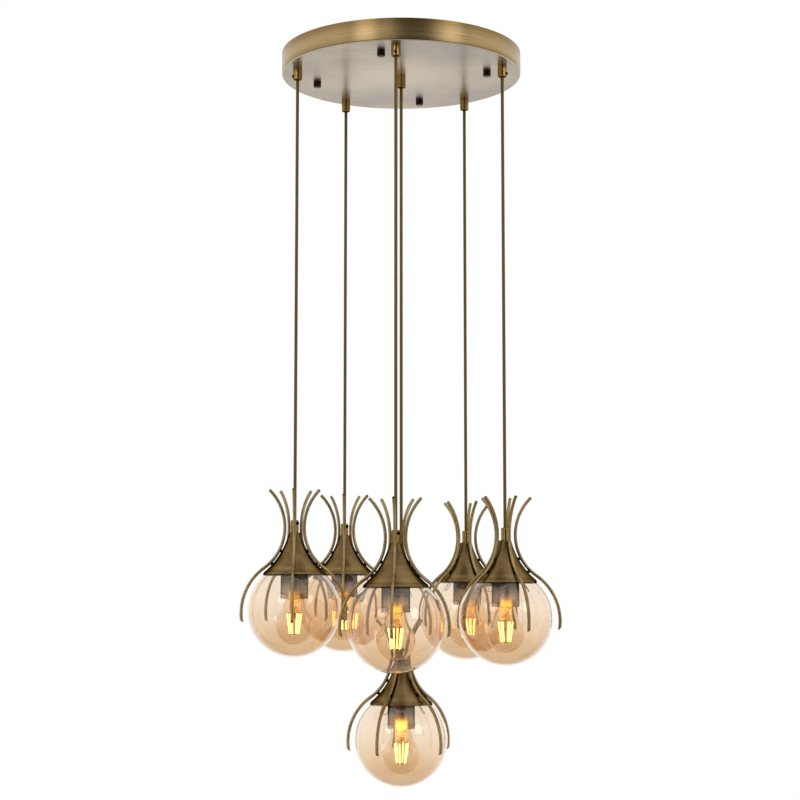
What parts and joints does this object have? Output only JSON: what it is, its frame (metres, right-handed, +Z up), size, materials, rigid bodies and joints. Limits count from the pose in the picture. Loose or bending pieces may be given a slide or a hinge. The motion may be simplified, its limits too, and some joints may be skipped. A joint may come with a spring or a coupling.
{
  "type": "cluster pendant light",
  "caption": "Round brass ceiling canopy with amber glass globe pendants hanging on cords, each globe under a flared cap ringed by splayed tube arms.",
  "frame": {"origin": "centre of the canopy's open face, in the plane of the ceiling", "axes": "+Z up to the ceiling, -Y towards the viewer, +X to the viewer's right"},
  "size_m": [0.5116, 0.4926, 1.2078],
  "materials": {
    "antique_brass": "brushed, aged",
    "dark_bronze": "satin",
    "plated_steel": "plated",
    "block_plastic": "matt",
    "cord_sleeve": "satin, woven",
    "amber_glass": "clear, tinted",
    "lamp_glass": "clear"
  },
  "bodies": {
    "canopy": {"canopy_pan": "antique_brass", "ceiling_bracket": "plated_steel", "cap_nuts": "dark_bronze", "cord_grips": "antique_brass", "grip_screws": "dark_bronze", "terminal_block": "block_plastic"},
    "cord_1": {"cord_1": "cord_sleeve"},
    "pendant_1": {"neck_grip_1": "antique_brass", "flared_cap_1": "antique_brass", "arms_1": "antique_brass", "arm_pins_1": "dark_bronze", "springs_1": "plated_steel", "lamp_holder_1": "antique_brass"},
    "globe_1": {"globe_1": "amber_glass"},
    "bulb_1": {"bulb_1": "lamp_glass"},
    "cord_2": {"cord_2": "cord_sleeve"},
    "pendant_2": {"neck_grip_2": "antique_brass", "flared_cap_2": "antique_brass", "arms_2": "antique_brass", "arm_pins_2": "dark_bronze", "springs_2": "plated_steel", "lamp_holder_2": "antique_brass"},
    "globe_2": {"globe_2": "amber_glass"},
    "bulb_2": {"bulb_2": "lamp_glass"},
    "cord_3": {"cord_3": "cord_sleeve"},
    "pendant_3": {"neck_grip_3": "antique_brass", "flared_cap_3": "antique_brass", "arms_3": "antique_brass", "arm_pins_3": "dark_bronze", "springs_3": "plated_steel", "lamp_holder_3": "antique_brass"},
    "globe_3": {"globe_3": "amber_glass"},
    "bulb_3": {"bulb_3": "lamp_glass"},
    "cord_4": {"cord_4": "cord_sleeve"},
    "pendant_4": {"neck_grip_4": "antique_brass", "flared_cap_4": "antique_brass", "arms_4": "antique_brass", "arm_pins_4": "dark_bronze", "springs_4": "plated_steel", "lamp_holder_4": "antique_brass"},
    "globe_4": {"globe_4": "amber_glass"},
    "bulb_4": {"bulb_4": "lamp_glass"},
    "cord_5": {"cord_5": "cord_sleeve"},
    "pendant_5": {"neck_grip_5": "antique_brass", "flared_cap_5": "antique_brass", "arms_5": "antique_brass", "arm_pins_5": "dark_bronze", "springs_5": "plated_steel", "lamp_holder_5": "antique_brass"},
    "globe_5": {"globe_5": "amber_glass"},
    "bulb_5": {"bulb_5": "lamp_glass"},
    "cord_6": {"cord_6": "cord_sleeve"},
    "pendant_6": {"neck_grip_6": "antique_brass", "flared_cap_6": "antique_brass", "arms_6": "antique_brass", "arm_pins_6": "dark_bronze", "springs_6": "plated_steel", "lamp_holder_6": "antique_brass"},
    "globe_6": {"globe_6": "amber_glass"},
    "bulb_6": {"bulb_6": "lamp_glass"}
  },
  "joints": [
    {"name": "swing_1", "type": "hinge", "parent": "canopy", "child": "cord_1", "pos_m": [-0.17111, -0.04681, -0.055], "axis": [-0.2639, 0.9646, 0], "range_deg": [-1.2, 15]},
    {"name": "twist_1", "type": "hinge", "parent": "cord_1", "child": "pendant_1", "pos_m": [-0.17111, -0.04681, -0.7903], "axis": [0, 0, 1], "range_deg": [-180, 180]},
    {"name": "globe_pull_1", "type": "slide", "parent": "pendant_1", "child": "globe_1", "axis": [0, 0, -1], "range_m": [0, 0.125]},
    {"name": "bulb_turn_1", "type": "hinge", "parent": "pendant_1", "child": "bulb_1", "pos_m": [-0.17111, -0.04681, -0.8883], "axis": [0, 0, -1], "range_deg": [0, 1080]},
    {"name": "swing_2", "type": "hinge", "parent": "canopy", "child": "cord_2", "pos_m": [-0.0974, 0.14827, -0.055], "axis": [0.8358, 0.549, 0], "range_deg": [-1.2, 15]},
    {"name": "twist_2", "type": "hinge", "parent": "cord_2", "child": "pendant_2", "pos_m": [-0.0974, 0.14827, -0.7892], "axis": [0, 0, 1], "range_deg": [-180, 180]},
    {"name": "globe_pull_2", "type": "slide", "parent": "pendant_2", "child": "globe_2", "axis": [0, 0, -1], "range_m": [0, 0.125]},
    {"name": "bulb_turn_2", "type": "hinge", "parent": "pendant_2", "child": "bulb_2", "pos_m": [-0.0974, 0.14827, -0.8872], "axis": [0, 0, -1], "range_deg": [0, 1080]},
    {"name": "swing_3", "type": "hinge", "parent": "canopy", "child": "cord_3", "pos_m": [-0.00836, -0.1772, -0.055], "axis": [-0.9989, 0.0471, 0], "range_deg": [-1.2, 15]},
    {"name": "twist_3", "type": "hinge", "parent": "cord_3", "child": "pendant_3", "pos_m": [-0.00836, -0.1772, -0.8099], "axis": [0, 0, 1], "range_deg": [-180, 180]},
    {"name": "globe_pull_3", "type": "slide", "parent": "pendant_3", "child": "globe_3", "axis": [0, 0, -1], "range_m": [0, 0.125]},
    {"name": "bulb_turn_3", "type": "hinge", "parent": "pendant_3", "child": "bulb_3", "pos_m": [-0.00836, -0.1772, -0.9079], "axis": [0, 0, -1], "range_deg": [0, 1080]},
    {"name": "swing_4", "type": "hinge", "parent": "canopy", "child": "cord_4", "pos_m": [0.11092, 0.13845, -0.055], "axis": [0.7804, -0.6252, 0], "range_deg": [-1.2, 15]},
    {"name": "twist_4", "type": "hinge", "parent": "cord_4", "child": "pendant_4", "pos_m": [0.11092, 0.13845, -0.8017], "axis": [0, 0, 1], "range_deg": [-180, 180]},
    {"name": "globe_pull_4", "type": "slide", "parent": "pendant_4", "child": "globe_4", "axis": [0, 0, -1], "range_m": [0, 0.125]},
    {"name": "bulb_turn_4", "type": "hinge", "parent": "pendant_4", "child": "bulb_4", "pos_m": [0.11092, 0.13845, -0.8997], "axis": [0, 0, -1], "range_deg": [0, 1080]},
    {"name": "swing_5", "type": "hinge", "parent": "canopy", "child": "cord_5", "pos_m": [0.16595, -0.06271, -0.055], "axis": [-0.3535, -0.9354, 0], "range_deg": [-1.2, 15]},
    {"name": "twist_5", "type": "hinge", "parent": "cord_5", "child": "pendant_5", "pos_m": [0.16595, -0.06271, -0.8028], "axis": [0, 0, 1], "range_deg": [-180, 180]},
    {"name": "globe_pull_5", "type": "slide", "parent": "pendant_5", "child": "globe_5", "axis": [0, 0, -1], "range_m": [0, 0.125]},
    {"name": "bulb_turn_5", "type": "hinge", "parent": "pendant_5", "child": "bulb_5", "pos_m": [0.16595, -0.06271, -0.9008], "axis": [0, 0, -1], "range_deg": [0, 1080]},
    {"name": "swing_6", "type": "hinge", "parent": "canopy", "child": "cord_6", "pos_m": [0, 0, -0.055], "axis": [0, -1, 0], "range_deg": [-1.2, 1.2]},
    {"name": "twist_6", "type": "hinge", "parent": "cord_6", "child": "pendant_6", "pos_m": [0, 0, -0.9985], "axis": [0, 0, 1], "range_deg": [-180, 180]},
    {"name": "globe_pull_6", "type": "slide", "parent": "pendant_6", "child": "globe_6", "axis": [0, 0, -1], "range_m": [0, 0.125]},
    {"name": "bulb_turn_6", "type": "hinge", "parent": "pendant_6", "child": "bulb_6", "pos_m": [0, 0, -1.0965], "axis": [0, 0, -1], "range_deg": [0, 1080]}
  ]
}
